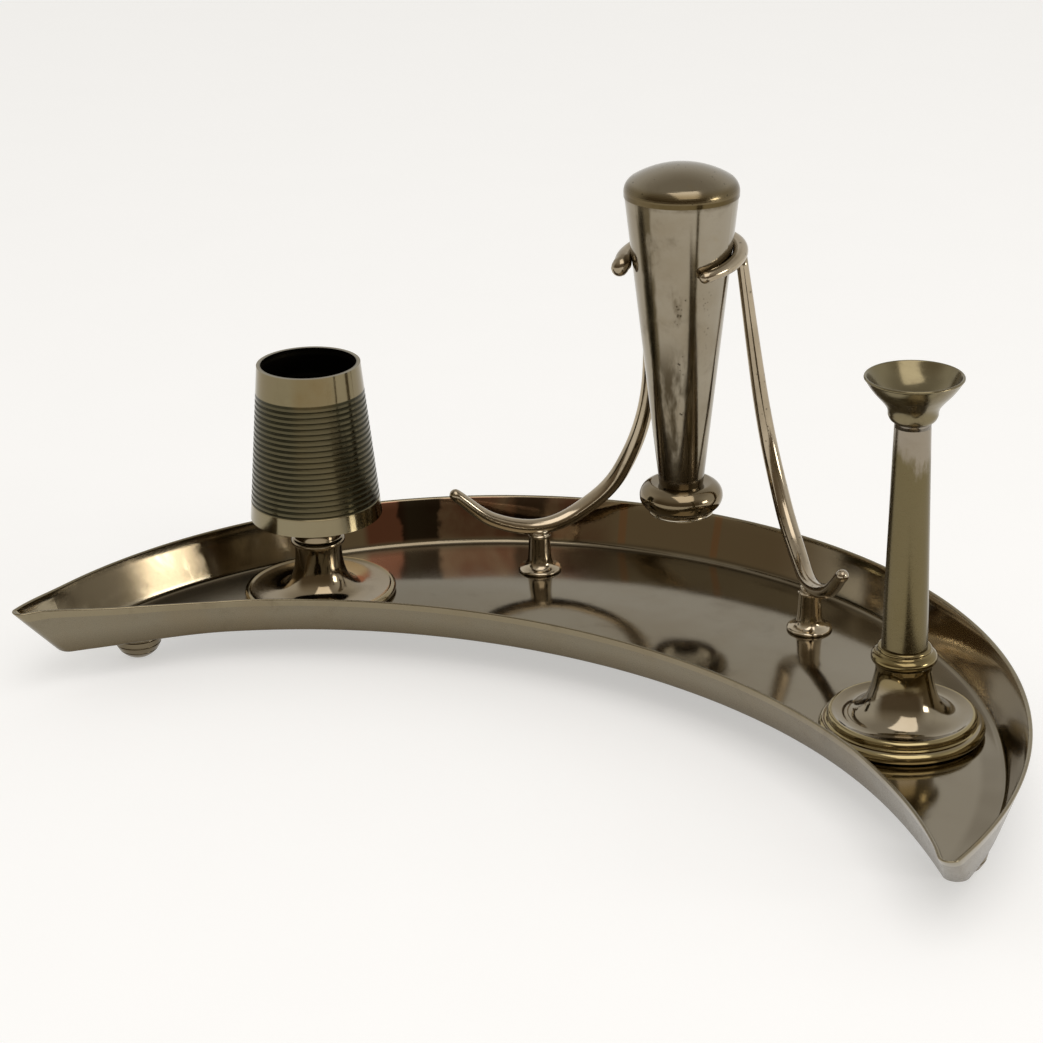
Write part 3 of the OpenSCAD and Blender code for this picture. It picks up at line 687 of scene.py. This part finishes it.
def make_post(side, node, material):
    """A flanged foot that rises as a bell, a thin bead, and a rounded top for the rod's saddle."""
    bell = through([(6.3, 1.1), (5.5, 1.4), (4.6, 2.0), (4.0, 3.1), (3.65, 5.0), (3.5, 7.5), (3.4, 10.0),
                    (3.35, 11.4)])
    top = through([(3.25, 12.6), (3.1, 13.3), (2.8, 13.9), (2.2, 14.2)])
    profile = ([(6.2, 0.0)] + bend(6.3, 0.5, 0.5, -90, 70, 6) + bell + bend(3.3, 11.9, 0.35, -70, 80, 5)
               + top)
    turned(node + "_bell", (side * POST[0], POST[1]), profile, material, node, sides=64)


def make_torch_knob():
    """A thin disc with a hole for the screw, and a bun on it, up to where the torch's side begins."""
    profile = ([(4.1, 28.5), (4.1, 26.3), (9.5, 26.3)] + bend(9.5, 26.6, 0.3, -80, 0, 4)
               + [(9.8, 27.6)] + bend(8.35, 31.95, 4.35, -90, 80, 32) + [(7.0, 35.7)])
    turned("torch_knob_bun", TORCH, profile, torch_bun(), "torch_knob", body="torch")


make_cup_foot()
make_column_foot()
make_column_knop()
make_column_dish()
post_silver = rod_plate("post_silver", (0.52, 0.44, 0.32))
make_post(-1, "post_left", post_silver)
make_post(1, "post_right", post_silver)
make_torch_knob()


# ---------------------------------------------------------------- bars

BAR_SIDES = 32
ROUND_END = (0.5, 0.95, 1.3, 1.5)       # turns in radians of the sections on a rounded end


def rounded_end(points, bars, end):
    """Adds sections that shrink on a quarter circle to the spine's first or last point."""
    tip, radius = points[end].copy(), bars[end]
    along = (tip - points[1 if end == 0 else -2]).normalized()
    for turn in ROUND_END:
        where = 0 if end == 0 else len(points)
        points.insert(where, tip + along * radius * sin(turn))
        bars.insert(where, radius * cos(turn))


def swept(name, spine, node, across, ends):
    """A round bar along the spine's points of x, y, z and radius. ends names the ends to round, 0 and -1."""
    points = [Vector(p[:3]) for p in spine]
    bars = [p[3] for p in spine]
    for end in ends:
        rounded_end(points, bars, end)
    bm = bmesh.new()
    turns = [2 * pi * k / BAR_SIDES for k in range(BAR_SIDES)]
    rings = []
    for i, (point, bar) in enumerate(zip(points, bars)):
        ahead = (points[min(i + 1, len(points) - 1)] - points[max(i - 1, 0)]).normalized()
        side = ahead.cross(Vector(across)).normalized()
        up = side.cross(ahead)
        rings.append([bm.verts.new(at(*(point + side * bar * cos(t) + up * bar * sin(t)))) for t in turns])
    for low, high in zip(rings, rings[1:]):
        for k in range(BAR_SIDES):
            j = (k + 1) % BAR_SIDES
            bm.faces.new((low[k], low[j], high[j], high[k])).smooth = True
    bm.faces.new(rings[0]).smooth = True
    bm.faces.new(rings[-1]).smooth = True
    bmesh.ops.recalc_face_normals(bm, faces=bm.faces)
    declare(bm, name, (rod_silver,), node)


def make_rods():
    """The scrolled rods, from the free end over the post's saddle and up to the ring."""
    route = [(65.73, 95.03, 28.1, 1.9), (57.48, 103.28, 18.44, 2.26), (*POST, 14.5, 2.5),
             (37.79, 124.17, 18.5, 2.7), (27.88, 132.95, 31.0, 2.7), (19.58, 135.55, 58.5, 2.415),
             (15.88, 127.75, 107.4, 1.75)]
    # One point more at each end makes the curve run straight there, and is then cut off
    before = tuple(2 * a - b for a, b in zip(route[0], route[1]))
    after = tuple(2 * a - b for a, b in zip(route[-1], route[-2]))
    curve = through([before] + route + [after], 16)[16:-16]
    for side, word in ((-1, "left"), (1, "right")):
        spine = [(side * x, y, z, bar) for x, y, z, bar in curve]
        swept("rod_" + word + "_bar", spine, "rod_" + word, (side, 1, 0), (0,))


RING_START, RING_TURN, RING_STEPS = -37, 247, 80       # degrees from +X
RING_Z, RING_TILT, RING_REACH = 107.0, 11, 17          # the tilt in degrees lifts its back
RING_BAR = 1.75


def ring_inside(z):
    """Radius of the ring's inside at a height. It follows the torch's taper, 0.05 outside it."""
    return 6.82 + 10.1 * (z - 36.3) / 90


def make_ring():
    """The open ring: a round bar close round the torch, tilted up at the back, its left end bent down."""
    spine = []
    for i in range(RING_STEPS + 1):
        a = radians(RING_START + RING_TURN * i / RING_STEPS)
        z = RING_Z + RING_REACH * sin(a) * sin(radians(RING_TILT))
        # Thin at its right end, stouter where the right rod meets it, and stoutest at its left end
        bar = RING_BAR + 0.35 * eased((i - 2) / 16) + 0.5 * eased((i - 66) / 14)
        bar += 0.3 * eased(1 - abs(degrees(a) - 45) / 45)
        reach = ring_inside(z) + bar
        spine.append((TORCH[0] + reach * cos(a), TORCH[1] + reach * sin(a), z, bar))
    x, y, z, bar = spine[-1]
    spine += [(x - 0.3, y - 0.7, z - 0.5, bar), (x - 0.6, y - 1.0, z - 1.3, bar)]
    swept("ring_bar", spine, "torch_ring", (0, 0, 1), (0, -1))


make_rods()
make_ring()


# ---------------------------------------------------------------- studio

def pale_floor(size=12.0):
    """A broad plain floor. Its glow shows to the camera and in the metal, and lights nothing else."""
    mesh = bpy.data.meshes.new("floor")
    corners = [(-size, -size, 0), (size, -size, 0), (size, size, 0), (-size, size, 0)]
    mesh.from_pydata(corners, [], [(0, 1, 2, 3)])
    floor = bpy.data.objects.new("floor", mesh)
    bpy.context.scene.collection.objects.link(floor)
    g = Graph("pale_floor")
    g.put(g.shader.inputs["Emission Color"], (1.0, 0.995, 0.98, 1.0))
    g.put(g.shader.inputs["Emission Strength"], g.times(g.seen(), 0.475))
    grain = g.mix(g.noise(30, 4, 0.5), (0.60, 0.60, 0.595), (0.62, 0.62, 0.615))
    mesh.materials.append(g.finish(grain, 0.9, metallic=0.0))


def sky():
    """A plain room: pale all round and dimmer overhead, but dim and warm low behind the camera.

    The background that the camera itself sees is paler.
    """
    world = bpy.data.worlds.new("studio")
    bpy.context.scene.world = world
    world.use_nodes = True
    n = Nodes(world.node_tree)
    direction = n.make("ShaderNodeTexCoord").outputs["Generated"]
    split = n.make("ShaderNodeSeparateXYZ")
    n.put(split.inputs[0], direction)
    up = split.outputs["Z"]
    toward = n.make("ShaderNodeVectorMath", operation="DOT_PRODUCT")
    n.put(toward.inputs[0], direction)
    n.put(toward.inputs[1], (0.30, -0.954, 0.0))
    overhead = (0.48, 0.46, 0.43)
    pale = n.ramp(up, [(0.0, (0.78, 0.78, 0.77)), (0.52, (0.76, 0.75, 0.73)), (0.85, overhead)])
    dim = n.ramp(up, [(0.0, (0.17, 0.13, 0.09)), (0.30, (0.19, 0.155, 0.11)), (0.65, (0.40, 0.36, 0.30)),
                      (0.95, overhead)])
    room = n.mix(n.step(toward.outputs["Value"], -0.05, 0.55), pale, dim)
    camera_ray = n.make("ShaderNodeLightPath").outputs["Is Camera Ray"]
    n.put(world.node_tree.nodes["Background"].inputs["Color"],
          n.mix(camera_ray, room, (0.93, 0.93, 0.92)))


def area_light(name, place, size, power, colour=(1, 1, 1)):
    """A rectangular lamp that points at the object."""
    data = bpy.data.lights.new(name, "AREA")
    data.shape = "RECTANGLE"
    data.size, data.size_y = size
    data.energy = power
    data.color = colour
    lamp = bpy.data.objects.new(name, data)
    lamp.location = place
    lamp.rotation_euler = (Vector((0, 0, 0.05)) - Vector(place)).to_track_quat("-Z", "Y").to_euler()
    bpy.context.scene.collection.objects.link(lamp)


def camera():
    """A long lens, to the right in front of the object, looking down on it and turned to its left."""
    data = bpy.data.cameras.new("camera")
    data.sensor_width = 36
    data.lens = 89.28
    yaw, pitch, roll = radians(32.06), radians(22.2), radians(-1.35)
    ahead = Vector((-sin(yaw) * cos(pitch), cos(yaw) * cos(pitch), -sin(pitch)))
    level = Vector((cos(yaw), sin(yaw), 0))
    upright = level.cross(ahead)
    right = level * cos(roll) + upright * sin(roll)
    up = upright * cos(roll) - level * sin(roll)
    turn = Matrix((right, up, -ahead)).transposed()
    place = Vector((347.72, -592.213, 334.76)) * MM
    eye = bpy.data.objects.new("camera", data)
    eye.matrix_world = Matrix.Translation(place) @ turn.to_4x4()
    bpy.context.scene.collection.objects.link(eye)
    bpy.context.scene.camera = eye


pale_floor()
sky()
area_light("key", (0.52, -0.50, 1.40), (1.1, 1.5), 9, (1.0, 0.97, 0.965))
area_light("side", (1.9, 0.3, 0.45), (0.5, 0.4), 6)
camera()
bpy.context.scene.view_settings.view_transform = "Standard"
